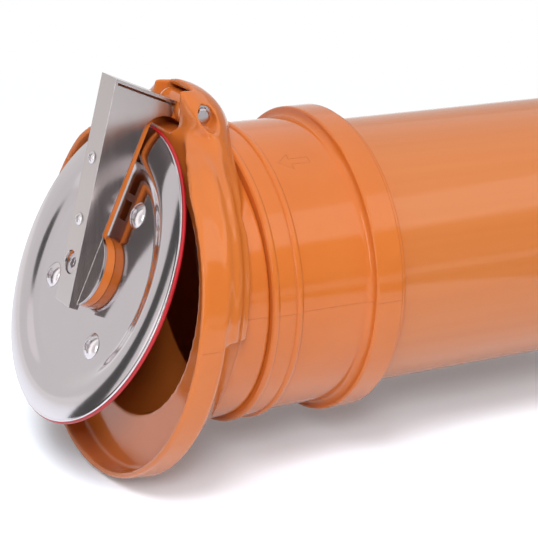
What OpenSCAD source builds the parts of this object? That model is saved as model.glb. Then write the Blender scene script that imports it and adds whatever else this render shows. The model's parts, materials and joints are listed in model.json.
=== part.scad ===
// End flap backwater valve for a buried drain pipe.
// The pipe's axis is the X axis: the water leaves towards -X and lifts the flap there.
// The origin is the centre of the pipe's free end, where the next pipe is coupled on.

/* [Pipe] */
// Outside diameter of the drain pipe
pipe_od = 110; // [100:1:125]
// Wall of the drain pipe
pipe_wall = 3.2; // [2.5:0.1:4]
// Length of pipe that stands out of the sleeve
pipe_free = 158; // [80:1:240]
// Chamfer on the pipe end inside the sleeve
pipe_chamfer = 1.5; // [0.5:0.1:2]

/* [Sleeve] */
// Length of the sleeve
sleeve_len = 57.8; // [54:0.1:70]
// Wall of the sleeve's plain cylinder
sleeve_wall = 3.2; // [2.8:0.1:4]
// Height of the two beads over the plain cylinder
bead_rise = 2; // [1:0.1:2.5]
// Width of each bead
bead_w = 3.3; // [2.5:0.1:4]
// Plain band between the two beads
bead_gap = 6.9; // [6.5:0.1:9]
// Length of the wide collar
collar_len = 13.5; // [12:0.1:16]
// Rise of the collar over the plain cylinder
collar_rise = 4.1; // [3.4:0.1:5]
// Wall of the collar
collar_wall = 2.6; // [2:0.1:2.9]
// Radius of the hollow in front of the collar
collar_fillet = 2.5; // [1.5:0.1:3]
// Depth that the housing's spigot reaches into the sleeve
spigot_depth = 26; // [20:0.5:30]
// Thickness of the stop rib between spigot and pipe
stop_rib = 2.5; // [2:0.1:4]

/* [Housing] */
// Lean of the seat, so that the flap falls shut
seat_tilt = 8; // [4:0.5:12]
// Radius by which the seat's opening is smaller than the pipe's bore
seat_step = 1.8; // [0:0.1:4]
// Distance on the axis from the seat to the sleeve
neck_len = 27.8; // [26:0.1:34]
// Rise of the neck over the spigot
neck_rise = 2.8; // [2.2:0.1:3.4]
// Room between the gasket's edge and the cup's rim
rim_room = 9; // [7:0.1:12]
// Height of the rim over the seat
rim_h = 9.4; // [6:0.1:12]
// Wall of the rim
rim_wall = 2.7; // [2:0.1:3.5]
// Distance that the rim sits below the seat's centre
rim_drop = 2.9; // [1:0.1:3.5]
// Distance below the rim's top at which its edge starts to fall away to the hood
rim_fall_h = 28.3; // [26:0.1:31]
// Radius of that fall
rim_fall_r = 32; // [29:0.5:35]
// Depth of the cheeks behind the seat, at the parting line
cheek_depth = 13.3; // [11:0.1:15]
// Lean of the back of the cheeks
cheek_tilt = 9; // [7:0.5:12]
// Fall of the cheek's surface from front to back
cheek_fall = 6.2; // [4:0.1:7]
// Depth of the two flutes along the cheek
flute_depth = 0.55; // [0.2:0.05:0.8]

/* [Hinge] */
// Distance from the disc's top edge up to the hinge, along the seat
hinge_over = 12.4; // [11.5:0.1:15]
// Distance of the hinge behind the seat
hinge_w = 8.7; // [8:0.1:11]
// Diameter of the hinge pin
pin_d = 6; // [5:0.1:7]
// Radius of the hood across the ears
hood_r = 31.4; // [30:0.1:33]
// Largest radius of the hood about its own long axis
hood_crown = 22.6; // [22:0.1:24]
// Half of the slot between the ears
slot_half = 10; // [9.5:0.1:11]
// Running room round the arm's eye
eye_room = 1.5; // [1.2:0.1:1.7]
// Half of the length between the retainers
pin_half = 15.5; // [15:0.1:17]
// Radius of the recess over each pin end
recess_r = 4.4; // [4.2:0.1:5]

/* [Flap] */
// Opening angle of the flap as it stands here
rest_open = 15; // [0:0.5:60]
// Width of the seat that the disc covers round the opening
disc_lap = 9.8; // [8:0.1:11]
// Sheet of the pressed disc
disc_t = 1.5; // [1.2:0.1:2]
// Thickness of the disc's raised border at its crest
border_t = 1.8; // [1.6:0.1:2.2]
// Fall of the border from its crest to its edges
border_fall = 1.1; // [0.8:0.1:1.2]
// Depth of the dish inside that border
dish_depth = 2.7; // [2.4:0.1:3]
// Height of the disc's centre over the seat's centre
disc_rise = 1.2; // [0:0.1:1.5]
// Thickness of the rubber gasket
seal_t = 1.6; // [1.5:0.1:2.4]
// Gasket standing out round the disc
seal_lap = 0.7; // [0.3:0.1:1]
// Room between the seat's opening and the gasket's inner flange
plug_room = 2; // [2:0.1:3.5]
// Rubber between the dish's wall and the seat's opening
plug_wall = 1.2; // [1:0.1:2]
// Thickness of the plate that clamps the gasket from behind
backing_t = 2.5; // [2:0.1:4]
// Distance of the flap's bolts from the dish's wall
bolt_inset = 15.2; // [13:0.1:17]
// Diameter of the flap's bolts
bolt_d = 6; // [5:0.1:6.5]

/* [Arm] */
// Half of the arm's width
arm_half = 6.3; // [6:0.1:6.8]
// Sheet of the arm's cover
sheet = 1.2; // [0.8:0.1:1.5]
// Room between the disc's border and the underside of the core
core_room = 0.5; // [0.4:0.1:1]
// Lower end of the arm's face, measured from the disc's centre
foot_u = -15.7; // [-17:0.1:-15]
// Height of the face over the disc at that end
foot_face = 8.2; // [8:0.1:9]
// Lean of the arm's face from the disc
face_lean = 10.4; // [9:0.1:11]
// Width of the core's strip that shows under the cover's webs
strip_w = 2.6; // [2:0.1:3]
// Height of the arm's upper leg
leg_h = 6.5; // [6:0.1:7]
// Radius of the arm's eye
eye_r = 6; // [5.8:0.1:6.2]
// Flange of each hinge bush
bush_flange = 1.2; // [0.8:0.1:1.5]
// Radius of the round boss at the arm's foot
boss_r = 14.5; // [14.4:0.1:15.5]
// Height of that boss
boss_h = 4; // [3.4:0.1:4.2]
// Places of the two cover screws along the arm
cover_screw_us = [17.4, 41.2];
// Diameter of the cover screws
cover_screw_d = 3; // [2.5:0.1:3.5]
// Diameter of the access hole in the arm's face
access_d = 9.4; // [9.2:0.1:10]

/* [Hidden] */
$fn = 96;

// Clearances, named after what they part
slip = 0.15;        // pipe or spigot in its socket
snug = 0.05;        // pin in a hole, screw in its hole, ring in its groove
run = 0.05;         // pin in the bushes
seat_gap = 0.3;     // shut gasket over the seat, and bushes in the slot
part_gap = 0.1;     // neighbouring pieces of the arm
big = 200;          // reach of a cutting block
over = 1;           // overshoot of a cut

// Colours
orange_pvc = "chocolate";
steel = "silver";
black_rubber = "dimgray";
red_rubber = "crimson";

// Radii of the pipe line
pipe_r = pipe_od / 2;
pipe_in_r = pipe_r - pipe_wall;
sleeve_in_r = pipe_r + slip;
sleeve_r = sleeve_in_r + sleeve_wall;
bead_r = sleeve_r + bead_rise;
band_r = sleeve_r + bead_rise / 2;
collar_r = sleeve_r + collar_rise;
chamber_r = collar_r - collar_wall;
groove_depth = 2.4;                             // of the O-ring's groove
mark_w = 1.6;                                   // scored line that shows the pipe's depth
mark_depth = 0.25;

// Stations along the axis
mouth_x = -pipe_free;
lip_x = mouth_x - sleeve_len;
collar_x = mouth_x - collar_len;
stop_x = lip_x + spigot_depth;
pipe_end_x = stop_x + stop_rib + slip;
bead2_x = lip_x + bead_w + bead_gap;
seat_x = lip_x - neck_len;
seat_depth = 14;                                // length of the seat's own opening
bore_start_x = seat_x + seat_depth;
chamber_wall = 0.8;                             // between the collar's shoulder and the seal's chamber
chamber_x = collar_x + chamber_wall;
ring_w = 2;                                     // retainer ring, along the axis
ring_edge = 1.3;                                // step from the collar down to that ring
ring_snap = 1.4;                                // wall of its part inside the collar

// The seat's opening is level with the pipe's invert
bore_r = pipe_in_r - seat_step;
bore_z = -seat_step;
seat_z = bore_z;

// Flap, with w measured from the seat and u from the disc's centre
disc_r = bore_r + disc_lap;
seal_r = disc_r + seal_lap;
plug_r = bore_r - plug_room;
dish_r = plug_r - plug_wall;
seal_w = seat_gap;
disc_w = seal_w + seal_t;
crest_w = disc_w + border_t;
face_w = crest_w - dish_depth;
clamp_w = face_w - disc_t - seal_t;             // back of the gasket's inner flange
backing_w = clamp_w - backing_t;
backing_room = 2.5;                             // between the backing plate and the gasket's flange
backing_r = plug_r - backing_room;
clamp_lap = 6;                                  // of the backing plate over the gasket
seal_in_r = backing_r - clamp_lap;
bolt_circle_r = dish_r - bolt_inset;
bolt_r = bolt_d / 2;
bolt_angles = [-30, 110, 217];                  // set clear of the arm
head_r = bolt_r * 1.75;
head_h = bolt_r * 0.75;
socket_d = bolt_d * 0.77;
socket_depth = 1.4;
washer_t = 1.2;
nut_h = 5;
tail_w = backing_w - washer_t - nut_h - over;   // free end of each bolt

// Hinge axis in the frame of the whole part
hinge_u = disc_r + hinge_over;
hinge_x = seat_x + hinge_w * cos(seat_tilt) + hinge_u * sin(seat_tilt);
hinge_z = seat_z - hinge_w * sin(seat_tilt) + hinge_u * cos(seat_tilt);
pin_r = pin_d / 2;
pin_end = 2;                                    // pin that stands out past each retainer

// Housing
rim_r = seal_r + rim_room + rim_wall;
rim_fall_u = rim_r - rim_drop - rim_fall_h;
rim_fall_lift = 0.6;                            // start of the fall over the rim's round edge
neck_r = pipe_r + neck_rise;
rim_back = 1;                                   // plain rim behind the seat
cone_back = rim_back + rim_r - neck_r;          // end of the 45 degree cone behind the rim
hood_ahead = 5;                                 // hood's own axis in front of the hinge
hood_below = 11.6;                              // and below it
hood_x = hinge_x - hood_ahead;
hood_z = hinge_z - hood_below;
hood_end = hood_r * 0.9;
pocket_r = eye_r + eye_room;
slot_below = 7.1;                               // floor of the slot below the hinge
slot_z = hinge_z - slot_below;
roof_ahead = 1;                                 // back of the slot's open top, in front of the hinge
roof_x = hinge_x - roof_ahead;
ear_ahead = 6.5;                                // upright front of the ears, in front of the hinge

// Cheeks, set out round the rim's centre
rim_z = seat_z - rim_drop;
cheek_step = 0.6;                               // from the rim down to the cheeks
cheek_r = rim_r - cheek_step;
cheek_in_r = neck_r - 4;                        // inside, sunk in the neck
cheek_lead = 14;                                // start of the cheeks in front of the seat
shoulder_angle = 46;                            // reach of the shoulders to each side of the top
shoulder_proud = 0.4;                           // step from the shoulders down to the cheeks

// Arm
pivot_u = hinge_u - disc_rise;
top_rise = 1.5;                                 // of the arm's top over the hinge
top_u = pivot_u + top_rise;
under_w = crest_w + core_room;
web_w = under_w + strip_w;
foot_w = face_w + boss_h;
leg_u = top_u - leg_h;
core_top_u = top_u - sheet - part_gap;
core_half = arm_half - sheet - part_gap;
slit = 0.9;                                     // gap between the top plate and the webs
cover_end_w = eye_r + seat_gap - hinge_w;        // end of the cover, short of the eye
screw_reach = 2 * cover_screw_d;                // of the cover screws below the arm's face
flange_t = 1.2;                                 // steel flange on the boss
flange_lap = 0.5;                               // of that flange over the boss
flange_r = boss_r + flange_lap;
bush_r = 4.4;
eye_half = slot_half - bush_flange - seat_gap;
centre_u = 0.6;
centre_head_r = 4.2;
centre_head_h = 2.6;
centre_sink = 1.2;                              // centre bolt's head below the arm's face

// Height of the arm's face over the seat at a place along the arm
function arm_face(u) = face_w + foot_face + (u - foot_u) * tan(face_lean);
centre_seat_w = arm_face(centre_u) - centre_sink - centre_head_h;

// Frame with local X up the seat, local Y across and local Z out of the seat
module seat_frame() {
    translate([seat_x, 0, seat_z])
        rotate([0, seat_tilt - 90, 0])
            children();
}

// Frame of the flap at its rest angle: as the seat's, but centred on the disc
module flap_frame() {
    translate([hinge_x, 0, hinge_z])
        rotate([0, rest_open, 0])
            translate([-hinge_x, 0, -hinge_z])
                seat_frame()
                    translate([disc_rise, 0, 0])
                        children();
}

// Turns a profile of (station, radius) about the X axis
module turned_x() {
    rotate([0, 90, 0])
        rotate_extrude()
            rotate(90)
                mirror([0, 1])
                    children();
}

// Cylinder along X from station x0 to x1
module bar_x(x0, x1, r) {
    translate([x0, 0, 0])
        rotate([0, 90, 0])
            cylinder(r = r, h = x1 - x0);
}

// Cylinder along Y, centred on the middle plane
module bar_y(length, r) {
    rotate([90, 0, 0])
        cylinder(r = r, h = length, center = true);
}

// Side profile of (u, w), spread over the arm's width
module arm_plate(width) {
    rotate([90, 0, 0])
        linear_extrude(width, center = true)
            children();
}

// Places children on each of the flap's bolts
module at_flap_bolts() {
    for (a = bolt_angles)
        rotate(a)
            translate([bolt_circle_r, 0, 0])
                children();
}

// Places children square on the arm's face
module on_arm_face(u) {
    translate([u, 0, arm_face(u)])
        rotate([0, -face_lean, 0])
            children();
}

// Rim, seat plate and the cone behind them, as one turned profile
module rim_and_seat() {
    round_r = rim_wall / 2;
    translate([-rim_drop, 0, 0])
        rotate_extrude()
            union() {
                polygon([[0, 0], [rim_r - rim_wall, 0], [rim_r - rim_wall, rim_h - round_r],
                         [rim_r, rim_h - round_r], [rim_r, -rim_back], [neck_r, -cone_back],
                         [0, -cone_back]]);
                translate([rim_r - round_r, rim_h - round_r])
                    circle(r = round_r);
            }
}

// What is taken off the front near the top, so that the rim's edge curves back to the upright ears
module front_fall() {
    arm_plate(4 * rim_r)
        difference() {
            translate([rim_fall_u, -big])
                square([big, 2 * big]);
            translate([rim_fall_u, rim_h + rim_fall_lift - rim_fall_r])
                circle(r = rim_fall_r);
            translate([hinge_u, -hinge_w])
                rotate(seat_tilt)
                    translate([-2 * big, -2 * big])
                        square([4 * big, 2 * big + ear_ahead]);
        }
}

// Fluted cheeks to each side of the top: a turned profile, whose back leans more than the seat
module cheeks(half_angle, proud = 0) {
    steps = 28;
    reach = cheek_depth + cheek_lead;
    back_r = cheek_r - cheek_fall + proud;
    function crest(w) = let (s = min(w / cheek_depth, 1))
        back_r + cheek_fall * sin(90 * s) - flute_depth * (1 - cos(720 * s)) / 2 * (1 - s / 2);
    translate([seat_x + cheek_depth + proud, 0, rim_z])
        rotate([0, cheek_tilt - 90, 0])
            rotate(-half_angle)
                rotate_extrude(angle = 2 * half_angle)
                    polygon(concat([[cheek_in_r, 0]],
                                   [for (i = [0 : steps]) [crest(reach * i / steps), reach * i / steps]],
                                   [[cheek_in_r, reach]]));
}

// Hinge hood: an arc turned about a line across the valve
module hood() {
    translate([hood_x, 0, hood_z])
        rotate([90, 0, 0])
            rotate_extrude()
                intersection() {
                    translate([hood_crown - hood_r, 0])
                        circle(r = hood_r);
                    translate([0, -hood_end])
                        square([hood_crown + over, 2 * hood_end]);
                }
}

// Shoulders that carry the hood's flanks down into the cheeks, clear of the sleeve behind
module shoulders() {
    difference() {
        hull() {
            hood($fn = 48);
            cheeks(shoulder_angle, shoulder_proud, $fn = 48);
        }
        bar_x(lip_x - slip, lip_x + big, bead_r + seat_gap);
    }
}

module flap_housing() {
    color(orange_pvc)
    difference() {
        union() {
            seat_frame()
                rim_and_seat();
            intersection() {
                union() {
                    bar_x(seat_x, lip_x - slip, neck_r);
                    cheeks(90);
                    shoulders();
                }
                seat_frame()
                    translate([-big / 2, -big / 2, -big])
                        cube(big);
            }
            bar_x(lip_x - over, stop_x - slip, pipe_r);
        }
        translate([0, 0, bore_z])
            bar_x(seat_x - big, bore_start_x + over, bore_r);
        bar_x(bore_start_x, stop_x + over, pipe_in_r);
        translate([roof_x - big, -slot_half, slot_z])
            cube([big, 2 * slot_half, big]);
        seat_frame()
            front_fall();
        translate([hinge_x, 0, hinge_z]) {
            bar_y(2 * slot_half, pocket_r);
            bar_y(big, pin_r + snug);
            for (side = [-1, 1])
                translate([0, side * (pin_half + big / 2), 0])
                    bar_y(big, recess_r);
        }
    }
}

module socket_sleeve() {
    edge = 1;
    color(orange_pvc)
    turned_x()
        difference() {
            union() {
                translate([lip_x, 0])
                    square([sleeve_len - ring_w, sleeve_r]);
                translate([lip_x, 0])
                    square([bead_w + bead_gap, band_r]);
                for (x = [lip_x, bead2_x])
                    translate([x + bead_w / 2, 0]) {
                        translate([0, bead_r - bead_w / 2])
                            circle(d = bead_w);
                        translate([-bead_w / 2, 0])
                            square([bead_w, bead_r - bead_w / 2]);
                    }
                difference() {
                    translate([collar_x - collar_fillet, 0])
                        square([collar_len + collar_fillet - ring_w, collar_r]);
                    translate([collar_x - collar_fillet, sleeve_r + collar_fillet])
                        circle(r = collar_fillet);
                    translate([collar_x - 2 * collar_fillet, sleeve_r + collar_fillet])
                        square([2 * collar_fillet, collar_r]);
                    translate([collar_x - edge, collar_r - edge])
                        difference() {
                            square(2 * edge);
                            translate([2 * edge, 0])
                                circle(r = edge);
                        }
                }
            }
            translate([lip_x - over, 0])
                square([spigot_depth + over, sleeve_in_r]);
            translate([stop_x - over, 0])
                square([stop_rib + 2 * over, pipe_in_r]);
            translate([stop_x + stop_rib, 0])
                square([big, sleeve_in_r]);
            translate([lip_x + bead_w + 1, 0])
                square([bead_gap - 2, sleeve_in_r + groove_depth]);
            translate([chamber_x, 0])
                square([big, chamber_r]);
        }
}

module seal_retainer_ring() {
    color(orange_pvc)
    turned_x()
        union() {
            translate([mouth_x - ring_w + snug, sleeve_in_r])
                square([ring_w - snug, collar_r - ring_edge - sleeve_in_r]);
            translate([mouth_x - 2 * ring_w, chamber_r - ring_snap])
                square([2 * ring_w, ring_snap - snug]);
        }
}

module spigot_o_ring() {
    ring_r = (groove_depth + slip) / 2 - 2 * snug;
    color(black_rubber)
    turned_x()
        translate([lip_x + bead_w + bead_gap / 2, pipe_r + snug + ring_r])
            circle(r = ring_r);
}

module pipe_lip_seal() {
    x0 = chamber_x + snug;
    x1 = mouth_x - 2 * ring_w - snug;
    mid = (x0 + x1) / 2;
    top = chamber_r - snug;
    low = pipe_r + snug;
    root = 2;                                   // thickness of the seal's outer band
    color(black_rubber)
    turned_x()
        polygon([[x0, top], [x1, top], [x1, top - root], [mid + 1, top - root - 0.4],
                 [mid - 0.5, low], [mid - 2, low], [x0 + 1.5, top - root - 0.2], [x0, top - root - 0.2]]);
}

// Pipe with a chamfered end in the sleeve, a scored depth mark at the mouth and a sawn free end
module drain_pipe() {
    color(orange_pvc)
    turned_x()
        polygon([[pipe_end_x, pipe_in_r], [pipe_end_x, pipe_r - pipe_chamfer],
                 [pipe_end_x + 2 * pipe_chamfer, pipe_r], [mouth_x, pipe_r],
                 [mouth_x + mark_w / 2, pipe_r - mark_depth], [mouth_x + mark_w, pipe_r],
                 [0, pipe_r], [0, pipe_in_r]]);
}

module hinge_pin() {
    tip = 0.6;
    length = 2 * (pin_half + pin_end);
    color(steel)
    translate([hinge_x, 0, hinge_z])
        rotate([90, 0, 0])
            rotate_extrude()
                polygon([[0, -length / 2], [pin_r - tip, -length / 2], [pin_r, tip - length / 2],
                         [pin_r, length / 2 - tip], [pin_r - tip, length / 2], [0, length / 2]]);
}

// Push-on star retainer: a dished ring with notches between its teeth
module pin_retainers() {
    teeth = 6;
    thickness = 0.6;
    notch = [0.9, 0.5, 2 * thickness];
    ring_r = recess_r - 5 * snug;
    color(steel)
    for (side = [-1, 1])
        translate([hinge_x, side * (pin_half + snug + thickness / 2), hinge_z])
            rotate([90, 0, 0])
                difference() {
                    cylinder(r = ring_r, h = thickness, center = true);
                    cylinder(r = pin_r + snug, h = 2 * thickness, center = true);
                    for (i = [1 : teeth])
                        rotate(i * 360 / teeth)
                            translate([pin_r, 0, 0])
                                cube(notch, center = true);
                }
}

module hinge_bushes() {
    inner = 1.5;
    color("white")
    translate([hinge_x, 0, hinge_z])
        for (side = [-1, 1])
            rotate([-90 * side, 0, 0])
                difference() {
                    union() {
                        translate([0, 0, inner])
                            cylinder(r = bush_r - snug, h = eye_half - inner + bush_flange);
                        translate([0, 0, eye_half + snug])
                            cylinder(r = eye_r - seat_gap, h = bush_flange - snug);
                    }
                    cylinder(r = pin_r + run, h = 2 * slot_half);
                }
}

// Outline of the core: limb, upper leg and eye, with a rounded inner corner
module core_outline() {
    front = sheet + part_gap;
    low_u = foot_u + front;
    high_u = core_top_u - slit;
    corner = 6;
    skin = front / cos(face_lean);
    polygon([[low_u, foot_w], [0, foot_w], [0, under_w], [leg_u, under_w], [leg_u, -hinge_w],
             [high_u, -hinge_w], [high_u, arm_face(high_u) - skin], [low_u, arm_face(low_u) - skin]]);
    translate([leg_u - corner, under_w - corner])
        difference() {
            square(corner);
            circle(r = corner);
        }
    translate([pivot_u, -hinge_w])
        circle(r = eye_r);
}

module arm_core() {
    pockets = 3;
    pocket_len = 7.8;
    pocket_width = 5.5;
    pocket_depth = 6;
    pocket_pitch = 10.5;
    first_u = 26;
    screw_hole = 2 * screw_reach + over;
    head_room = 0.3;
    color(orange_pvc)
    flap_frame()
        difference() {
            union() {
                arm_plate(2 * core_half)
                    core_outline();
                translate([core_top_u - slit - over, -core_half / 2, 0])
                    cube([slit + over, core_half, arm_face(leg_u) - 2 * sheet]);
                translate([0, 0, face_w + snug])
                    cylinder(r = boss_r, h = boss_h - snug);
                translate([pivot_u, 0, -hinge_w])
                    bar_y(2 * eye_half, eye_r);
            }
            translate([pivot_u, 0, -hinge_w])
                bar_y(big, bush_r);
            for (i = [0 : pockets - 1])
                translate([first_u + i * pocket_pitch, 0, under_w])
                    cube([pocket_len, pocket_width, 2 * pocket_depth], center = true);
            for (u = cover_screw_us)
                on_arm_face(u)
                    cylinder(r = cover_screw_d / 2 + snug, h = screw_hole, center = true);
            translate([centre_u, 0, 0]) {
                cylinder(r = bolt_r + snug, h = big);
                translate([0, 0, centre_seat_w])
                    cylinder(r = centre_head_r + head_room, h = big);
            }
        }
}

// Outline of each web: straight edge over the strip, rounded inner corner, step down to the flange
module web_outline() {
    corner = 9;
    web_top = top_u - sheet - slit;
    low_w = foot_w + part_gap;
    step_u = flange_r - 2 * over;
    polygon([[foot_u, low_w], [step_u, low_w], [step_u + web_w - low_w, web_w], [leg_u, web_w], [leg_u, cover_end_w],
             [web_top, cover_end_w], [web_top, arm_face(web_top) - sheet / 2],
             [foot_u, arm_face(foot_u) - sheet / 2]]);
    translate([leg_u - corner, web_w - corner])
        difference() {
            square(corner);
            circle(r = corner);
        }
}

module arm_cover() {
    thick = sheet / cos(face_lean);
    through = 4 * sheet;
    color(steel)
    flap_frame()
        difference() {
            union() {
                for (side = [-1, 1])
                    translate([0, side * (arm_half - sheet / 2), 0])
                        arm_plate(sheet)
                            web_outline();
                arm_plate(2 * arm_half)
                    polygon([[foot_u, arm_face(foot_u)], [top_u, arm_face(top_u)],
                             [top_u, cover_end_w], [top_u - sheet, cover_end_w],
                             [top_u - sheet, arm_face(top_u - sheet) - thick],
                             [foot_u, arm_face(foot_u) - thick]]);
                difference() {
                    translate([0, 0, foot_w + part_gap])
                        cylinder(r = flange_r, h = flange_t);
                    cube([big, 2 * (arm_half - sheet), big], center = true);
                }
            }
            on_arm_face(centre_u)
                cylinder(d = access_d, h = through, center = true);
            for (u = cover_screw_us)
                on_arm_face(u)
                    cylinder(r = cover_screw_d / 2 + snug, h = through, center = true);
        }
}

module cover_screws() {
    head = cover_screw_d * 0.85;
    head_rise = cover_screw_d * 0.47;
    dome = cover_screw_d;
    cross = [cover_screw_d * 0.87, cover_screw_d * 0.2, 0.8 * head_rise];
    color(steel)
    flap_frame()
        for (u = cover_screw_us)
            on_arm_face(u) {
                translate([0, 0, snug])
                    difference() {
                        intersection() {
                            cylinder(r = head, h = head_rise);
                            translate([0, 0, head_rise - dome])
                                sphere(r = dome);
                        }
                        for (turn = [0, 90])
                            rotate(turn)
                                translate([0, 0, head_rise])
                                    cube(cross, center = true);
                    }
                translate([0, 0, -screw_reach])
                    cylinder(r = cover_screw_d / 2, h = screw_reach + snug);
            }
}

// Pressed dish: flat middle, sloping wall and a raised border with a rounded crest
module flap_disc() {
    edge_w = crest_w - border_fall;
    border_in = dish_r - disc_t;
    half = (disc_r - border_in) / 2;
    curve_r = (half * half + border_fall * border_fall) / (2 * border_fall);
    sink = 0.1;                                 // of the sloping wall's end in the border
    wall_r = border_in + sink;
    wall_w = edge_w - sink;
    color(steel)
    flap_frame()
        difference() {
            rotate_extrude()
                union() {
                    polygon([[0, face_w - disc_t], [dish_r, face_w - disc_t], [dish_r, wall_w],
                             [wall_r, wall_w], [wall_r - wall_w + face_w, face_w], [0, face_w]]);
                    intersection() {
                        translate([border_in, disc_w])
                            square([2 * half, border_t + over]);
                        translate([border_in + half, crest_w - curve_r])
                            circle(r = curve_r, $fn = 360);
                    }
                }
            at_flap_bolts()
                cylinder(r = bolt_r + snug, h = big, center = true);
            translate([centre_u, 0, 0])
                cylinder(r = bolt_r + snug, h = big, center = true);
        }
}

// Moulded gasket: a flat ring on the seat and an inner flange that is clamped behind the dish
module flap_seal() {
    round_r = (seal_t - snug) / 2;
    color(red_rubber)
    flap_frame()
        rotate_extrude()
            union() {
                translate([dish_r + snug, seal_w])
                    square([seal_r - round_r - dish_r - snug, 2 * round_r]);
                translate([seal_r - round_r, seal_w + round_r])
                    circle(r = round_r);
                translate([dish_r + snug, clamp_w])
                    square([plug_r - dish_r - snug, seal_w - clamp_w + over]);
                translate([seal_in_r + snug, clamp_w])
                    square([dish_r - seal_in_r, seal_t - snug]);
            }
}

module backing_plate() {
    color(steel)
    flap_frame()
        difference() {
            union() {
                translate([0, 0, backing_w])
                    cylinder(r = backing_r, h = backing_t);
                translate([0, 0, clamp_w - over])
                    cylinder(r = seal_in_r, h = seal_t + over);
            }
            at_flap_bolts()
                cylinder(r = bolt_r + snug, h = big, center = true);
            translate([centre_u, 0, 0])
                cylinder(r = bolt_r + snug, h = big, center = true);
        }
}

// Button head with a hexagon socket, on a shank that reaches through the flap
module flap_bolts() {
    dome = (head_r * head_r + head_h * head_h) / (2 * head_h);
    color(steel)
    flap_frame()
        at_flap_bolts() {
            translate([0, 0, face_w])
                difference() {
                    intersection() {
                        cylinder(r = head_r, h = head_h);
                        translate([0, 0, head_h - dome])
                            sphere(r = dome);
                    }
                    translate([0, 0, head_h - socket_depth])
                        cylinder(d = socket_d, h = 2 * socket_depth, $fn = 6);
                }
            translate([0, 0, tail_w])
                cylinder(r = bolt_r, h = face_w - tail_w + head_h / 4);
        }
}

// Plain washer and hexagon nut behind the backing plate
module rear_washer() {
    translate([0, 0, backing_w - washer_t])
        difference() {
            cylinder(r = bolt_d, h = washer_t);
            cylinder(r = bolt_r + snug, h = 3 * washer_t, center = true);
        }
}

module rear_nut() {
    across = bolt_d * 1.92;                     // over the corners
    bevel = 0.6;
    translate([0, 0, backing_w - washer_t - nut_h])
        difference() {
            intersection() {
                cylinder(d = across, h = nut_h, $fn = 6);
                cylinder(r1 = across / 2 - bevel, r2 = across / 2 + nut_h - bevel, h = nut_h);
            }
            cylinder(r = bolt_r + snug, h = 3 * nut_h, center = true);
        }
}

module flap_washers() {
    color(steel)
    flap_frame()
        at_flap_bolts()
            rear_washer();
}

module flap_nuts() {
    color(steel)
    flap_frame()
        at_flap_bolts()
            rear_nut();
}

module centre_bolt() {
    color(steel)
    flap_frame()
        translate([centre_u, 0, 0])
            difference() {
                union() {
                    translate([0, 0, centre_seat_w])
                        cylinder(r = centre_head_r, h = centre_head_h);
                    translate([0, 0, tail_w])
                        cylinder(r = bolt_r, h = centre_seat_w - tail_w + over);
                }
                translate([0, 0, centre_seat_w + centre_head_h - socket_depth])
                    cylinder(d = socket_d, h = 2 * socket_depth, $fn = 6);
            }
}

module centre_washer() {
    color(steel)
    flap_frame()
        translate([centre_u, 0, 0])
            rear_washer();
}

module centre_nut() {
    color(steel)
    flap_frame()
        translate([centre_u, 0, 0])
            rear_nut();
}

flap_housing();
socket_sleeve();
seal_retainer_ring();
spigot_o_ring();
pipe_lip_seal();
drain_pipe();
hinge_pin();
pin_retainers();
hinge_bushes();
arm_core();
arm_cover();
cover_screws();
flap_disc();
flap_seal();
backing_plate();
flap_bolts();
flap_washers();
flap_nuts();
centre_bolt();
centre_washer();
centre_nut();
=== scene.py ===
"""Looks of an end flap backwater valve on its drain pipe: finishes, moulded marks, light and camera."""

import json
import math

import bmesh
import bpy
import numpy as np
from mathutils import Matrix, Vector


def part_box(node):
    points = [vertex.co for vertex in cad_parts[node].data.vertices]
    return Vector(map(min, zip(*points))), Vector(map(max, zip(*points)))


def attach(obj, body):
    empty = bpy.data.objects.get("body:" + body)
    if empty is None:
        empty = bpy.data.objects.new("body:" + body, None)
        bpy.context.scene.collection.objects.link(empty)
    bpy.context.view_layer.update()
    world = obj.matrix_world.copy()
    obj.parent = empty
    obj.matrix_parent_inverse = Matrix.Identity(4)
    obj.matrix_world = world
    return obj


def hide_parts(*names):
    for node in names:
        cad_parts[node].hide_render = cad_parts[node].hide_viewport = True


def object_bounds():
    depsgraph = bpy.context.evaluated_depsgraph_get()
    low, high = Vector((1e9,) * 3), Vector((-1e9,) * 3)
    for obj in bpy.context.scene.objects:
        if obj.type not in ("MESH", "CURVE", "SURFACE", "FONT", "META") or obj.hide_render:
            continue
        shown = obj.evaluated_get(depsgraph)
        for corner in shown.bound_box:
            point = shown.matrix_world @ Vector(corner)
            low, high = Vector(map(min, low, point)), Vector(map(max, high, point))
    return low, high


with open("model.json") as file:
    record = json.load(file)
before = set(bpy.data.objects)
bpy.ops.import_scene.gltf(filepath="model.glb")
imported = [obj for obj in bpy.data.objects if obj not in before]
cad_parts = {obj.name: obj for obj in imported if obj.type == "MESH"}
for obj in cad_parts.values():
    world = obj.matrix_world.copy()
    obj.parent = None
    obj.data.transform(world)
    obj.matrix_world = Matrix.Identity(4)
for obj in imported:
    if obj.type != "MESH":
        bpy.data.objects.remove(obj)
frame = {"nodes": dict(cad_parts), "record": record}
cad_low, cad_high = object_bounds()
middle = (cad_low + cad_high) / 2
nodes = frame["nodes"]

MM = 0.001

# Camera, at the photograph's viewing angle, in metres
CAMERA_AT = Vector((-0.5521, -0.6373, 0.2374))
CAMERA_TARGET = Vector((-0.1838, 0.0, -0.0033))
CAMERA_ROLL = math.radians(1.87)
CAMERA_LENS = 126.75
CAMERA_SENSOR = 36

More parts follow.
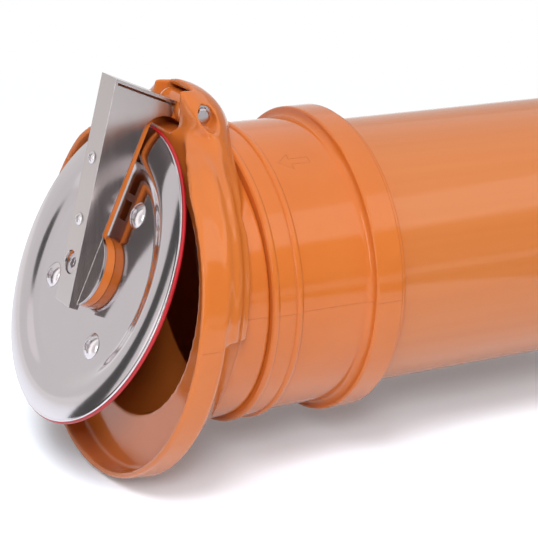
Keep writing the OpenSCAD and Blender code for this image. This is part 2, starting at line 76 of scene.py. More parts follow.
# Floor, in metres: it glows a little near the part and is plain white far off
FLOOR_HALF = 12.0
FLOOR_COLOUR = (0.84, 0.9, 0.98)
FLOOR_BOUNCE = (0.46, 0.48, 0.5)
FLOOR_GLOW_NEAR = 0.14
FLOOR_GLOW_FAR = 1.0
FLOOR_FADE_FROM = 0.12
FLOOR_FADE_TO = 0.7

# Wall round the set, in metres, with the stretch over which it turns from dark to bright
WALL_RADIUS = 4.0
WALL_HEIGHT = 2.0
WALL_STEPS = 64
WALL_BRIGHT = 0.85
WALL_DARK = 0.18
WALL_BRIGHT_SIDE = Vector((-0.55, 0.83, 0))
WALL_TURN_FROM = -0.2
WALL_TURN_TO = 0.5

# Cards, in metres and degrees: the first lies on the floor and the others stand round a point
CARD_LIFT = 0.002
PIPE_CARD = {"tone": 0.15, "low": (0.03, -0.7), "high": (0.9, -0.045)}
FRONT_WINDOW = {"tone": 1.9, "away": 1.5, "azimuth": -52, "low": 28, "high": 48, "half_width": 0.9}
LEFT_STRIP = {"tone": 5.0, "away": 1.5, "azimuth": 208, "low": 0, "high": 32, "half_width": 0.16}
DISC_BORDER = Vector((-0.253, -0.055, 0.003))
BORDER_BRIGHT = {"tone": 1.7, "away": 0.2, "azimuth": 159, "low": -45, "high": 60, "half_width": 0.032}
BORDER_DARK = {"tone": 0.1, "away": 0.2, "azimuth": 138, "low": -45, "high": 60, "half_width": 0.021}

# Black light stop in the bore, in millimetres: no part of the valve, it puts the bore behind it in shade
STOP_X = -210.0
STOP_R = 51.4
STOP_STEPS = 64
STOP_BLACK = (0.003, 0.003, 0.003)
STOP_ROUGHNESS = 0.9

# Lamps, in metres and watts, and the world's even light
TOP_BOX = {"location": (middle.x, -0.5, 1.5), "width": 2.4, "height": 2.0, "power": 18}
KEY_BOX = {"location": (middle.x - 0.9, -1.45, 1.0), "width": 0.5, "height": 0.5, "power": 22}
FLOOR_BOX = {"location": middle + Vector((-0.8, -0.75, 1.4)), "width": 0.7, "height": 0.7, "power": 34}
WORLD_FILL = 0.28
WORLD_SHOWN = 1.0

# Places on the housing, in millimetres
HINGE = Vector(frame["record"]["behaviour"]["joints"][0]["pos_m"]) / MM
SEAT_AT = Vector((-243.6, 0, -1.8))
SEAT_TILT = math.radians(8)
RIM_Z = -4.7
RIM_INNER_R = 69.5
CHEEK_DEPTH = 13.3
CHEEK_TILT = math.radians(9)
EAR_AHEAD = 6.5
SLOT_HALF = 10.0
NECK_FROM = -229.0
NECK_TO = -216.3
RIM_FRONT = -252.0
RIM_BACK = -243.0

# Housing skin: its mesh, and the stretches over which a change comes in, in millimetres or degrees
WELD_DISTANCE = 0.004 * MM
SKIN_VOXEL = 0.7 * MM
SKIN_ROUNDS = 50
SKIN_PULL = 0.5
LAST_ROUNDS = 3
EAR_DRAW = 0.65
EAR_START_Z = (54, 60)
EAR_END_Z = (66, 81)
EAR_BACK = (0, 6)
EAR_OFF_PIN = (4.2, 9)
BLEND_TURN = (48, 56)
BLEND_R = (60, 63)
BLEND_OFF_SLOT = (SLOT_HALF + 0.6, SLOT_HALF + 3)
BLEND_OFF_PIN = (4.3, 6.5)
BLEND_OVER_SEAT = (1, 5)
FLUTES = 2
FLUTE_DEPTH = 1.2
FLUTE_EXTRA = 0.5
FLUTE_R = (62, 64)
FLUTE_RUN_OUT = (20, 44)
FLUTE_END = (84, 89)

# Disc skin, in millimetres from the disc's middle and from the crest of its border
FLAP_TILT = SEAT_TILT + math.radians(15)
DISH_FLAT_R = 40.0
DISH_CREST_R = 50.0
DISH_ROLL_R = 59.2
DISH_EDGE_R = 59.8
DISH_WALL_R = 46.8
DISH_DEPTH = 2.7
CREST_FALL = 1.2
BORDER_T = 1.8
EDGE_T = 0.2
SHEET_T = 1.5
FLAT_RINGS = 4
BEND_RINGS = 16
DISC_STEPS = 288
DISC_SHARP = math.radians(35)

# Lines moulded on the plastic
RAY_REACH = 0.2
SEAM_WIDTH = 0.5 * MM
SEAM_RISE = 0.14 * MM
SEAM_STEP = 0.4 * MM
SEAM_END_ROOM = 0.4 * MM
ARROW_TURN = math.radians(60)
ARROW_TIP_X = -198.6 * MM
ARROW_LENGTH = 14.2 * MM
ARROW_HALF_HEAD = 4.4 * MM
ARROW_HALF_SHAFT = 1.7 * MM
ARROW_HEAD = 6.0 * MM
ARROW_LINE = 0.5 * MM
ARROW_RISE = 0.11 * MM

# Linear colours
ORANGE = (0.6, 0.152, 0.024)
ORANGE_PALE = (0.64, 0.172, 0.032)
PIPE_ORANGE = (0.59, 0.178, 0.044)
PIPE_PALE = (0.61, 0.19, 0.05)
# Painted highlight on the edges of the orange plastic
ORANGE_EDGE_HIGHLIGHT = (0.76, 0.31, 0.11)
STEEL = (0.62, 0.568, 0.582)
STEEL_DULL = (0.6, 0.55, 0.564)
# Painted glint on the edges of the steel
STEEL_EDGE_GLINT = (0.8, 0.8, 0.8)
SATIN = (0.54, 0.488, 0.482)
SATIN_DULL = (0.515, 0.466, 0.46)
RED = (0.5, 0.008, 0.018)
RED_DEEP = (0.4, 0.006, 0.012)
BLACK = (0.018, 0.018, 0.019)
BLACK_PALE = (0.035, 0.035, 0.036)
WHITE = (0.78, 0.78, 0.75)
WHITE_DULL = (0.7, 0.69, 0.65)

# Finishes: a noise is its scale and detail, a bump its height and strength
EDGE_SAMPLES = 6
EDGE_FULL = 0.75
EDGE_NONE = 0.98
PLASTIC_EDGE_R = 0.6 * MM
# Share of the painted edge highlight on the plastic
PLASTIC_EDGE_HIGHLIGHT_SHARE = 0.35
PLASTIC_CLOUDS = (1.0, 3)
PLASTIC_GLOSS = (130, 3)
PLASTIC_SMOOTHER = 0.02
PLASTIC_ROUGHER = 0.03
PLASTIC_PEEL = (260, 2)
PLASTIC_PEEL_BUMP = (0.01 * MM, 0.3)
PLASTIC_IOR = 1.53
PLASTIC_SPECULAR = 0.36
METAL_EDGE_R = 0.35 * MM
# Share of the painted edge glint on the metal
METAL_EDGE_GLINT_SHARE = 0.4
METAL_CLOUDS = (45, 4)
METAL_LINES = (1.0, 2)
METAL_SMOOTHER_SHARE = 0.93
METAL_ROUGHER_SHARE = 1.08
METAL_WAVES = (22, 2)
METAL_WAVE_STRENGTH = 0.5
RUBBER_EDGE_R = 0.3 * MM
# Share of the painted edge highlight on rubber and white plastic
RUBBER_EDGE_HIGHLIGHT_SHARE = 0.25
RUBBER_CLOUDS = (60, 4)
RUBBER_GLOSS = (300, 3)
RUBBER_SMOOTHER = 0.06
RUBBER_ROUGHER = 0.08
RUBBER_GRAIN = (1500, 2)
RUBBER_GRAIN_BUMP = (0.03 * MM, 0.4)


# Helpers for shader trees

def new_material(name):
    material = bpy.data.materials.new(name)
    material.use_nodes = True
    tree = material.node_tree
    return material, tree, tree.nodes["Principled BSDF"]


def place_of(tree, stretch=(1, 1, 1)):
    """Object coordinates, stretched along the axes."""
    coords = tree.nodes.new("ShaderNodeTexCoord")
    mapping = tree.nodes.new("ShaderNodeMapping")
    mapping.inputs["Scale"].default_value = stretch
    tree.links.new(coords.outputs["Object"], mapping.inputs["Vector"])
    return mapping.outputs["Vector"]


def noise(tree, place, scale, detail):
    node = tree.nodes.new("ShaderNodeTexNoise")
    node.inputs["Scale"].default_value = scale
    node.inputs["Detail"].default_value = detail
    tree.links.new(place, node.inputs["Vector"])
    return node.outputs["Fac"]


def spread(tree, value, low, high, start=0.3, end=0.7):
    """Maps a value between start and end onto low to high; the defaults are a noise's usual range."""
    node = tree.nodes.new("ShaderNodeMapRange")
    node.inputs["From Min"].default_value = start
    node.inputs["From Max"].default_value = end
    node.inputs["To Min"].default_value = low
    node.inputs["To Max"].default_value = high
    tree.links.new(value, node.inputs["Value"])
    return node.outputs["Result"]


def blend(tree, share, first, second):
    """Mixes two colours, each a tuple or an output, by a share."""
    node = tree.nodes.new("ShaderNodeMix")
    node.data_type = "RGBA"
    tree.links.new(share, node.inputs["Factor"])
    for identifier, colour in (("A_Color", first), ("B_Color", second)):
        socket = next(s for s in node.inputs if s.identifier == identifier)
        if isinstance(colour, tuple):
            socket.default_value = (*colour, 1)
        else:
            tree.links.new(colour, socket)
    return next(s for s in node.outputs if s.identifier == "Result_Color")


def soft_edges(tree, radius):
    """Normal with the edges rounded off, and a mask that is 1 on those edges."""
    bevel = tree.nodes.new("ShaderNodeBevel")
    bevel.samples = EDGE_SAMPLES
    bevel.inputs["Radius"].default_value = radius
    geometry = tree.nodes.new("ShaderNodeNewGeometry")
    dot = tree.nodes.new("ShaderNodeVectorMath")
    dot.operation = "DOT_PRODUCT"
    tree.links.new(bevel.outputs["Normal"], dot.inputs[0])
    tree.links.new(geometry.outputs["Normal"], dot.inputs[1])
    return bevel.outputs["Normal"], spread(tree, dot.outputs["Value"], 1, 0, EDGE_FULL, EDGE_NONE)


def bump(tree, height, normal, distance, strength):
    node = tree.nodes.new("ShaderNodeBump")
    node.inputs["Strength"].default_value = strength
    node.inputs["Distance"].default_value = distance
    tree.links.new(height, node.inputs["Height"])
    tree.links.new(normal, node.inputs["Normal"])
    return node.outputs["Normal"]


def finish_shader(tree, shader, colour, roughness, normal):
    for name, output in (("Base Color", colour), ("Roughness", roughness), ("Normal", normal)):
        tree.links.new(output, shader.inputs[name])


# Materials

def plastic(name, deep, pale, roughness, stretch):
    """Gloss moulded or extruded PVC: faint clouds of colour, a smooth orange-peel skin, and edges turned
    paler by a painted highlight.
    """
    material, tree, shader = new_material(name)
    place = place_of(tree)
    normal, edge = soft_edges(tree, PLASTIC_EDGE_R)
    clouds = spread(tree, noise(tree, place_of(tree, stretch), *PLASTIC_CLOUDS), 0, 1)
    # Painted highlight: the edges are blended towards a paler orange
    edge_highlight_share = spread(tree, edge, 0, PLASTIC_EDGE_HIGHLIGHT_SHARE, 0, 1)
    colour = blend(tree, edge_highlight_share, blend(tree, clouds, deep, pale), ORANGE_EDGE_HIGHLIGHT)
    gloss = spread(tree, noise(tree, place, *PLASTIC_GLOSS),
                   roughness - PLASTIC_SMOOTHER, roughness + PLASTIC_ROUGHER)
    peel = bump(tree, noise(tree, place, *PLASTIC_PEEL), normal, *PLASTIC_PEEL_BUMP)
    finish_shader(tree, shader, colour, gloss, peel)
    shader.inputs["IOR"].default_value = PLASTIC_IOR
    shader.inputs["Specular IOR Level"].default_value = PLASTIC_SPECULAR
    return material


def metal(name, bright, dull, roughness, stretch, ripple):
    """Stainless sheet or bar: faint clouds and lines in its gloss, slow waves, and edges turned paler by a
    painted glint.
    """
    material, tree, shader = new_material(name)
    place = place_of(tree)
    normal, edge = soft_edges(tree, METAL_EDGE_R)
    clouds = spread(tree, noise(tree, place, *METAL_CLOUDS), 0, 1)
    # Painted glint: the edges are blended towards a pale grey
    edge_highlight_share = spread(tree, edge, 0, METAL_EDGE_GLINT_SHARE, 0, 1)
    colour = blend(tree, edge_highlight_share, blend(tree, clouds, dull, bright), STEEL_EDGE_GLINT)
    lines = noise(tree, place_of(tree, stretch), *METAL_LINES)
    gloss = spread(tree, lines, roughness * METAL_SMOOTHER_SHARE, roughness * METAL_ROUGHER_SHARE)
    waves = bump(tree, noise(tree, place, *METAL_WAVES), normal, ripple, METAL_WAVE_STRENGTH)
    finish_shader(tree, shader, colour, gloss, waves)
    shader.inputs["Metallic"].default_value = 1.0
    return material


def rubber(name, deep, pale, roughness):
    """Moulded rubber or turned plastic with a fine matt grain, and edges turned paler by a painted
    highlight.
    """
    material, tree, shader = new_material(name)
    place = place_of(tree)
    normal, edge = soft_edges(tree, RUBBER_EDGE_R)
    clouds = spread(tree, noise(tree, place, *RUBBER_CLOUDS), 0, 1)
    # Painted highlight: the edges are blended towards the pale tone
    edge_highlight_share = spread(tree, edge, 0, RUBBER_EDGE_HIGHLIGHT_SHARE, 0, 1)
    colour = blend(tree, edge_highlight_share, blend(tree, clouds, deep, pale), pale)
    gloss = spread(tree, noise(tree, place, *RUBBER_GLOSS),
                   roughness - RUBBER_SMOOTHER, roughness + RUBBER_ROUGHER)
    grain = bump(tree, noise(tree, place, *RUBBER_GRAIN), normal, *RUBBER_GRAIN_BUMP)
    finish_shader(tree, shader, colour, gloss, grain)
    return material


finishes = {
    "orange_pvc": plastic("orange_pvc_gloss", ORANGE, ORANGE_PALE, roughness=0.1, stretch=(28, 28, 28)),
    "pipe_pvc": plastic("pipe_pvc_gloss", PIPE_ORANGE, PIPE_PALE, roughness=0.11, stretch=(3, 200, 200)),
    "polished_steel": metal("polished_steel_sheet", STEEL, STEEL_DULL, roughness=0.1,
                            stretch=(500, 500, 500), ripple=0.012 * MM),
    "satin_steel": metal("satin_steel_sheet", SATIN, SATIN_DULL, roughness=0.21,
                         stretch=(900, 900, 90), ripple=0.01 * MM),
    "bright_steel": metal("bright_steel_bar", STEEL, STEEL_DULL, roughness=0.2,
                          stretch=(900, 900, 900), ripple=0.01 * MM),
    "red_rubber": rubber("red_rubber_moulded", RED_DEEP, RED, roughness=0.34),
    "black_rubber": rubber("black_rubber_moulded", BLACK, BLACK_PALE, roughness=0.55),
    "white_plastic": rubber("white_plastic_turned", WHITE_DULL, WHITE, roughness=0.4),
}
for part in frame["record"]["subparts"]:
    nodes[part["node"]].data.materials[0] = finishes[part["material_slot"]]


# Helpers for meshes and pieces

def smooth_step(values, start, end):
    share = np.clip((values - start) / (end - start), 0, 1)
    return share * share * (3 - 2 * share)


def circle_turns(count):
    return [math.tau * i / count for i in range(count)]


def bridge(mesh, first, second):
    """Faces between two closed rows of vertices."""
    count = len(first)
    for i in range(count):
        j = (i + 1) % count
        mesh.faces.new((first[i], first[j], second[j], second[i]))


def mesh_data(name, mesh):
    data = bpy.data.meshes.new(name)
    mesh.to_mesh(data)
    mesh.free()
    return data


def closed_data(name, mesh):
    """Mesh data with every face turned outwards."""
    bmesh.ops.recalc_face_normals(mesh, faces=mesh.faces)
    return mesh_data(name, mesh)


def add_piece(name, mesh, body, slot):
    piece = bpy.data.objects.new(name, mesh)
    bpy.context.scene.collection.objects.link(piece)
    mesh.materials.clear()
    mesh.materials.append(finishes[slot])
    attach(piece, body)
    return piece


# Housing skin: the solid's own surface, with its flanks blended and its flutes run out towards the hood

def remeshed_copy(node, voxel):
    """Even mesh of a node's surface."""
    mesh = bmesh.new()
    mesh.from_mesh(nodes[node].data)
    bmesh.ops.remove_doubles(mesh, verts=mesh.verts, dist=WELD_DISTANCE)
    holder = bpy.data.objects.new("remesh_holder", mesh_data("remesh_holder", mesh))
    bpy.context.scene.collection.objects.link(holder)
    remesh = holder.modifiers.new("remesh", "REMESH")
    remesh.mode = "VOXEL"
    remesh.voxel_size = voxel
    remesh.use_smooth_shade = True
    bpy.context.view_layer.update()
    even = bpy.data.meshes.new_from_object(holder.evaluated_get(bpy.context.evaluated_depsgraph_get()))
    bpy.data.objects.remove(holder)
    return even


def read_rows(items, name, width, kind):
    """Values of a mesh's vertices or edges, one row for each."""
    values = np.empty(len(items) * width, kind)
    items.foreach_get(name, values)
    return values.reshape(-1, width)


def relax(points, edges, weight, rounds):
    """Moves each point towards the mean of its neighbours, by a weight of its own."""
    first, second = edges[:, 0], edges[:, 1]
    count = len(points)
    degree = np.maximum(np.bincount(edges.ravel(), minlength=count), 1)
    for _ in range(rounds):
        for axis in range(3):
            values = points[:, axis]
            total = np.bincount(first, values[second], count) + np.bincount(second, values[first], count)
            points[:, axis] = values + weight * (total / degree - values)


def squeeze_ears(points):
    """Draws the front of the ears in, so that their edge runs on from the rim's."""
    x, y, z = points.T
    base = np.maximum(SLOT_HALF, np.sqrt(np.maximum(RIM_INNER_R ** 2 - (z - RIM_Z) ** 2, 0)))
    level = EAR_DRAW * smooth_step(z, *EAR_START_Z) * (1 - smooth_step(z, *EAR_END_Z))
    front = 1 - smooth_step(x - (HINGE.x - EAR_AHEAD), *EAR_BACK)
    off_pin = smooth_step(np.hypot(x - HINGE.x, z - HINGE.z), *EAR_OFF_PIN)
    beyond = np.maximum(np.abs(y) - base, 0)
    points[:, 1] = y - np.sign(y) * beyond * level * front * off_pin


def round_the_rim(points):
    """Turn from the top in degrees, and radius, about the axis of the rim."""
    _, y, z = points.T
    return np.degrees(np.arctan2(np.abs(y), z - RIM_Z)), np.hypot(y, z - RIM_Z)


def flank_weight(points):
    """1 on the upper flanks, whose steps are blended, and 0 near the slot, the pin and the seat."""
    x, y, z = points.T
    turn, radius = round_the_rim(points)
    over_seat = -(x - SEAT_AT.x) * math.cos(SEAT_TILT) + (z - SEAT_AT.z) * math.sin(SEAT_TILT)
    upper = 1 - smooth_step(turn, *BLEND_TURN)
    outside = smooth_step(radius, *BLEND_R) * smooth_step(np.abs(y), *BLEND_OFF_SLOT)
    off_pin = smooth_step(np.hypot(x - HINGE.x, z - HINGE.z), *BLEND_OFF_PIN)
    return upper * outside * (off_pin * (1 - smooth_step(over_seat, *BLEND_OVER_SEAT)))


def cut_flutes(points, unblended):
    """Sinks the flutes into the flanks, placed by the points as they were before the blend."""
    _, y, z = unblended.T
    turn, radius = round_the_rim(unblended)
    upper = 1 - smooth_step(turn, *BLEND_TURN)
    along = Vector((-math.cos(CHEEK_TILT), 0, math.sin(CHEEK_TILT)))
    station = (points[:, 0] - SEAT_AT.x - CHEEK_DEPTH) * along.x + (points[:, 2] - RIM_Z) * along.z
    share = np.clip(station / CHEEK_DEPTH, 0, 1)
    wave = (1 - np.cos(FLUTES * math.tau * share)) / 2 * (1 - share / 2)
    run_out = FLUTE_DEPTH * upper * smooth_step(turn, *FLUTE_RUN_OUT)
    deeper = FLUTE_EXTRA * (1 - upper) * (1 - smooth_step(turn, *FLUTE_END))
    inward = wave * (run_out + deeper) * smooth_step(radius, *FLUTE_R) / np.maximum(radius, 1)
    points[:, 1] -= y * inward
    points[:, 2] -= (z - RIM_Z) * inward


def housing_skin():
    skin = remeshed_copy("flap_housing", SKIN_VOXEL)
    points = read_rows(skin.vertices, "co", 3, float) / MM
    edges = read_rows(skin.edges, "vertices", 2, np.int64)
    squeeze_ears(points)
    unblended = points.copy()
    relax(points, edges, SKIN_PULL * flank_weight(unblended), SKIN_ROUNDS)
    cut_flutes(points, unblended)
    relax(points, edges, SKIN_PULL, LAST_ROUNDS)
    skin.vertices.foreach_set("co", (points * MM).ravel())
    skin.update()
    skin.name = "housing_skin"
    piece = add_piece("housing_skin", skin, "housing", "orange_pvc")
    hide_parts("flap_housing")
    bpy.context.view_layer.update()
    return piece


skin_piece = housing_skin()


# Disc skin: the pressed sheet with its dish, crest and rolled edge run into each other

def disc_profile():
    """Radius and height over the crest, from the front's middle round the edge to the back's middle."""
    front = [(DISH_FLAT_R * i / FLAT_RINGS, -DISH_DEPTH) for i in range(1, FLAT_RINGS)]
    shares = [i / BEND_RINGS for i in range(BEND_RINGS + 1)]
    for share in shares:
        rise = float(smooth_step(share, 0, 1))
        front.append((DISH_FLAT_R + (DISH_CREST_R - DISH_FLAT_R) * share, DISH_DEPTH * (rise - 1)))
    for share in shares[1:-1]:
        front.append((DISH_CREST_R + (DISH_ROLL_R - DISH_CREST_R) * share, -CREST_FALL * share * share))
    roll_fall = BORDER_T - EDGE_T - CREST_FALL
    for share in shares:
        turn = math.pi / 2 * share
        front.append((DISH_ROLL_R + (DISH_EDGE_R - DISH_ROLL_R) * math.sin(turn),
                      -CREST_FALL - roll_fall * (1 - math.cos(turn))))
    back = [(DISH_EDGE_R, -BORDER_T), (DISH_WALL_R, -BORDER_T), (DISH_WALL_R, -DISH_DEPTH - SHEET_T)]
    return front + back


def disc_skin():
    across = Vector((0, 1, 0))
    out = Vector((-math.cos(FLAP_TILT), 0, math.sin(FLAP_TILT)))
    up = Vector((math.sin(FLAP_TILT), 0, math.cos(FLAP_TILT)))
    solid = [vertex.co for vertex in nodes["flap_disc"].data.vertices]
    heights = [point.dot(up) for point in solid]
    crest = max(point.dot(out) for point in solid)
    centre = up * (min(heights) + max(heights)) / 2
    spokes = [across * math.cos(turn) + up * math.sin(turn) for turn in circle_turns(DISC_STEPS)]
    mesh = bmesh.new()
    rows = []
    for radius, height in disc_profile():
        axis = centre + out * (crest + height * MM)
        rows.append([mesh.verts.new(axis + spoke * radius * MM) for spoke in spokes])
    for first, second in zip(rows, rows[1:]):
        bridge(mesh, first, second)
    mesh.faces.new(rows[0])
    mesh.faces.new(rows[-1])
    data = closed_data("disc_skin", mesh)
    data.polygons.foreach_set("use_smooth", [True] * len(data.polygons))
    data.set_sharp_from_angle(angle=DISC_SHARP)
    piece = add_piece("disc_skin", data, "flap", "polished_steel")
    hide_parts("flap_disc")


disc_skin()


# Moulded marks, laid on the surfaces that carry them

def hit(obj, start, direction):
    """Point where a ray first meets an object, or None."""
    found, point, _, _ = obj.ray_cast(start, direction)
    return point if found else None


def ridge(mesh, points, normal, width, rise):
    """Low three-sided ridge along a line of surface points."""
    rows = []
    for i, point in enumerate(points):
        ahead = points[min(i + 1, len(points) - 1)]
        behind = points[max(i - 1, 0)]
        side = (ahead - behind).cross(normal).normalized() * width / 2
        sunk = point - normal * rise
        rows.append([mesh.verts.new(p) for p in (sunk - side, point + normal * rise, sunk + side)])
    for first, second in zip(rows, rows[1:]):
        bridge(mesh, first, second)
    mesh.faces.new(rows[0][::-1])
    mesh.faces.new(rows[-1])


def seam_lines(name, obj, x_from, x_to, height):
    """Mould seams on both sides of an object, at one height."""
    mesh = bmesh.new()
    steps = round((x_to - x_from) / SEAM_STEP)
    for side in (-1, 1):
        out = Vector((0, side, 0))
        starts = [Vector((x_from + (x_to - x_from) * i / steps, side * RAY_REACH, height))
                  for i in range(steps + 1)]
        points = [hit(obj, start, -out) for start in starts]
        ridge(mesh, [point for point in points if point is not None], out, SEAM_WIDTH, SEAM_RISE)
    return add_piece(name, closed_data(name, mesh), "housing", "orange_pvc")


sleeve = nodes["socket_sleeve"]
sleeve_low, sleeve_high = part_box("socket_sleeve")
seam_lines("sleeve_seams", sleeve, sleeve_low.x + SEAM_END_ROOM, sleeve_high.x - SEAM_END_ROOM, 0)
seam_lines("neck_seams", skin_piece, NECK_FROM * MM, NECK_TO * MM, 0)
seam_lines("rim_seams", skin_piece, RIM_FRONT * MM, RIM_BACK * MM, RIM_Z * MM)


def arrow_outline(inset):
    """Flow arrow in a flat plane, with its tip at the origin and its tail along +X."""
    slope = math.hypot(ARROW_HEAD, ARROW_HALF_HEAD) / ARROW_HALF_HEAD
    tip = inset * slope
    head = ARROW_HEAD - inset
    half_head = ARROW_HALF_HEAD * (head - tip) / ARROW_HEAD
    half_shaft = ARROW_HALF_SHAFT - inset
    tail = ARROW_LENGTH - inset
    upper = [(head, half_head), (head, half_shaft), (tail, half_shaft)]
    lower = [(x, -y) for x, y in reversed(upper)]
    return [(tip, 0.0), *upper, *lower]


def flow_arrow():
    """Raised outline of an arrow on the sleeve, bent round it."""
    out = Vector((0, -math.cos(ARROW_TURN), math.sin(ARROW_TURN)))
    middle_x = ARROW_TIP_X + ARROW_LENGTH / 2
    radius = hit(sleeve, Vector((middle_x, 0, 0)) + out * RAY_REACH, -out).yz.length
    rings = []
    mesh = bmesh.new()
    for inset, rise in ((0, -ARROW_RISE), (ARROW_LINE / 4, ARROW_RISE),
                        (ARROW_LINE * 3 / 4, ARROW_RISE), (ARROW_LINE, -ARROW_RISE)):
        ring = []
        for x, y in arrow_outline(inset):
            turn = ARROW_TURN + y / radius
            r = radius + rise
            ring.append(mesh.verts.new((ARROW_TIP_X + x, -r * math.cos(turn), r * math.sin(turn))))
        rings.append(ring)
    for first, second in zip(rings, rings[1:] + rings[:1]):
        bridge(mesh, first, second)
    return add_piece("flow_arrow", closed_data("flow_arrow", mesh), "housing", "orange_pvc")


flow_arrow()


# Stage

def shown_rays(tree):
    """1 for camera, glossy and transmission rays."""
    path = tree.nodes.new("ShaderNodeLightPath")
    total = path.outputs["Is Camera Ray"]
    for name in ("Is Glossy Ray", "Is Transmission Ray"):
        larger = tree.nodes.new("ShaderNodeMath")
        larger.operation = "MAXIMUM"
        tree.links.new(total, larger.inputs[0])
        tree.links.new(path.outputs[name], larger.inputs[1])
        total = larger.outputs["Value"]
    return total


def stage_object(name, mesh, material):
    data = mesh_data(name, mesh)
    data.materials.append(material)
    obj = bpy.data.objects.new(name, data)
    bpy.context.scene.collection.objects.link(obj)
    return obj


def floor_material():
    """Matt white that glows a little where it is seen, and keeps the shadow."""
    material = bpy.data.materials.new("floor_white")
    material.use_nodes = True
    tree = material.node_tree
    tree.nodes.clear()
    matt = tree.nodes.new("ShaderNodeBsdfDiffuse")
    path = tree.nodes.new("ShaderNodeLightPath")
    tree.links.new(blend(tree, path.outputs["Is Diffuse Ray"], FLOOR_COLOUR, FLOOR_BOUNCE),
                   matt.inputs["Color"])
    glow = tree.nodes.new("ShaderNodeEmission")
    coords = tree.nodes.new("ShaderNodeTexCoord")
    distance = tree.nodes.new("ShaderNodeVectorMath")
    distance.operation = "DISTANCE"
    distance.inputs[1].default_value = (middle.x, middle.y, cad_low.z)
    tree.links.new(coords.outputs["Object"], distance.inputs[0])
    glow_share = spread(tree, distance.outputs["Value"], FLOOR_GLOW_NEAR, FLOOR_GLOW_FAR,
                        FLOOR_FADE_FROM, FLOOR_FADE_TO)
    share = tree.nodes.new("ShaderNodeMath")
    share.operation = "MULTIPLY"
    tree.links.new(shown_rays(tree), share.inputs[0])
    tree.links.new(glow_share, share.inputs[1])
    mix = tree.nodes.new("ShaderNodeMixShader")
    tree.links.new(share.outputs["Value"], mix.inputs["Fac"])
    tree.links.new(matt.outputs["BSDF"], mix.inputs[1])
    tree.links.new(glow.outputs["Emission"], mix.inputs[2])
    output = tree.nodes.new("ShaderNodeOutputMaterial")
    tree.links.new(mix.outputs["Shader"], output.inputs["Surface"])
    return material


def studio_floor():
    mesh = bmesh.new()
    corners = [mesh.verts.new((x * FLOOR_HALF, y * FLOOR_HALF, cad_low.z))
               for x, y in ((-1, -1), (1, -1), (1, 1), (-1, 1))]
    mesh.faces.new(corners)
    return stage_object("floor", mesh, floor_material())


def only_in_reflections(obj):
    obj.visible_camera = False
    obj.visible_diffuse = False
    obj.visible_shadow = False
    obj.visible_transmission = False


def glow_material(name, tone):
    material, tree, shader = new_material(name)
    tree.nodes.remove(shader)
    glow = tree.nodes.new("ShaderNodeEmission")
    glow.inputs["Color"].default_value = (tone, tone, tone, 1)
    tree.links.new(glow.outputs["Emission"], tree.nodes["Material Output"].inputs["Surface"])
    return material, tree, glow


def studio_wall():
    """Band round the set, bright on one side and dark on the other, that only reflections see."""
    material, tree, glow = glow_material("wall_grey", 1.0)
    coords = tree.nodes.new("ShaderNodeTexCoord")
    facing = tree.nodes.new("ShaderNodeVectorMath")
    facing.operation = "DOT_PRODUCT"
    facing.inputs[1].default_value = WALL_BRIGHT_SIDE / WALL_RADIUS
    tree.links.new(coords.outputs["Object"], facing.inputs[0])
    tone = spread(tree, facing.outputs["Value"], WALL_DARK, WALL_BRIGHT, WALL_TURN_FROM, WALL_TURN_TO)
    tree.links.new(tone, glow.inputs["Strength"])
    mesh = bmesh.new()
    rows = [[mesh.verts.new((WALL_RADIUS * math.cos(turn), WALL_RADIUS * math.sin(turn), z))
             for turn in circle_turns(WALL_STEPS)] for z in (cad_low.z, WALL_HEIGHT)]
    bridge(mesh, *rows)
    only_in_reflections(stage_object("studio_wall", mesh, material))


def reflection_card(name, tone, corners):
    """Flat card of one tone that only reflections see."""
    mesh = bmesh.new()
    mesh.faces.new([mesh.verts.new(corner) for corner in corners])
    only_in_reflections(stage_object(name, mesh, glow_material(name, tone)[0]))


def floor_card(name, tone, low, high):
    """Card that lies on the floor, from one corner to the opposite one."""
    height = cad_low.z + CARD_LIFT
    reflection_card(name, tone, [(low[0], low[1], height), (high[0], low[1], height),
                                 (high[0], high[1], height), (low[0], high[1], height)])


def upright_card(name, about, tone, away, azimuth, low, high, half_width):
    """Upright card that faces a point, from a lower to an upper elevation."""
    turn = math.radians(azimuth)
    ahead = Vector((math.cos(turn), math.sin(turn), 0))
    side = Vector((-math.sin(turn), math.cos(turn), 0)) * half_width
    rows = [about + ahead * away + Vector((0, 0, away * math.tan(math.radians(angle))))
            for angle in (low, high)]
    reflection_card(name, tone, [rows[0] - side, rows[0] + side, rows[1] + side, rows[1] - side])


def pipe_stop():
    """Black disc, no part of the valve, that keeps light from passing through the bore so that the bore
    behind it lies in shade; unseen and unmirrored.
    """
    material, _, shader = new_material("pipe_stop_black")
    shader.inputs["Base Color"].default_value = (*STOP_BLACK, 1)
    shader.inputs["Roughness"].default_value = STOP_ROUGHNESS
    shader.inputs["Specular IOR Level"].default_value = 0.0
    place = Matrix.Translation((STOP_X * MM, 0, 0)) @ Matrix.Rotation(math.pi / 2, 4, "Y")
    mesh = bmesh.new()
    bmesh.ops.create_circle(mesh, cap_ends=True, radius=STOP_R * MM, segments=STOP_STEPS, matrix=place)
    stop = stage_object("pipe_stop", mesh, material)
    stop.visible_camera = False
    stop.visible_glossy = False


# Light and camera

def soft_box(name, location, width, height, power):
    """Rectangular lamp that faces the middle of the part."""
    light = bpy.data.lights.new(name, "AREA")
    light.shape = "RECTANGLE"
    light.size = width
    light.size_y = height
    light.energy = power
    obj = bpy.data.objects.new(name, light)
    bpy.context.scene.collection.objects.link(obj)
    obj.location = location
    obj.rotation_euler = (middle - Vector(location)).to_track_quat("-Z", "Y").to_euler()
    return obj


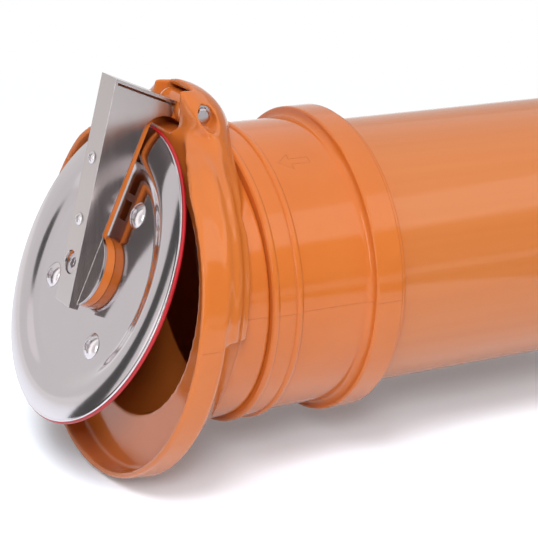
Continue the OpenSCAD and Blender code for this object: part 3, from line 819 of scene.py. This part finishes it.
def floor_lamp(floor):
    """Lamp that lights the floor alone, with the part's shadow on it."""
    lamp = soft_box("floor_box", **FLOOR_BOX)
    floor_alone = bpy.data.collections.new("floor_alone")
    floor_alone.objects.link(floor)
    lamp.light_linking.receiver_collection = floor_alone


def studio_world():
    """White where it is seen or mirrored, and a weaker even light on the part."""
    world = bpy.data.worlds.new("studio")
    bpy.context.scene.world = world
    world.use_nodes = True
    tree = world.node_tree
    fill = tree.nodes["Background"]
    white = tree.nodes.new("ShaderNodeBackground")
    for background, strength in ((fill, WORLD_FILL), (white, WORLD_SHOWN)):
        background.inputs["Color"].default_value = (1, 1, 1, 1)
        background.inputs["Strength"].default_value = strength
    mix = tree.nodes.new("ShaderNodeMixShader")
    tree.links.new(shown_rays(tree), mix.inputs["Fac"])
    tree.links.new(fill.outputs["Background"], mix.inputs[1])
    tree.links.new(white.outputs["Background"], mix.inputs[2])
    tree.links.new(mix.outputs["Shader"], tree.nodes["World Output"].inputs["Surface"])


def photo_camera():
    ahead = (CAMERA_TARGET - CAMERA_AT).normalized()
    right = ahead.cross(Vector((0, 0, 1))).normalized()
    up = right.cross(ahead)
    tilted_right = right * math.cos(CAMERA_ROLL) + up * math.sin(CAMERA_ROLL)
    tilted_up = tilted_right.cross(ahead)
    turn = Matrix((tilted_right, tilted_up, -ahead)).transposed().to_4x4()
    data = bpy.data.cameras.new("camera")
    data.sensor_width = CAMERA_SENSOR
    data.lens = CAMERA_LENS
    camera = bpy.data.objects.new("camera", data)
    bpy.context.scene.collection.objects.link(camera)
    camera.matrix_world = Matrix.Translation(CAMERA_AT) @ turn
    bpy.context.scene.camera = camera


floor_lamp(studio_floor())
studio_wall()
floor_card("pipe_card", **PIPE_CARD)
upright_card("front_window", middle, **FRONT_WINDOW)
upright_card("left_strip", middle, **LEFT_STRIP)
upright_card("border_bright", DISC_BORDER, **BORDER_BRIGHT)
upright_card("border_dark", DISC_BORDER, **BORDER_DARK)
pipe_stop()
soft_box("top_box", **TOP_BOX).visible_glossy = False
soft_box("key_box", **KEY_BOX).visible_glossy = False
studio_world()
photo_camera()
bpy.context.scene.view_settings.view_transform = "Standard"
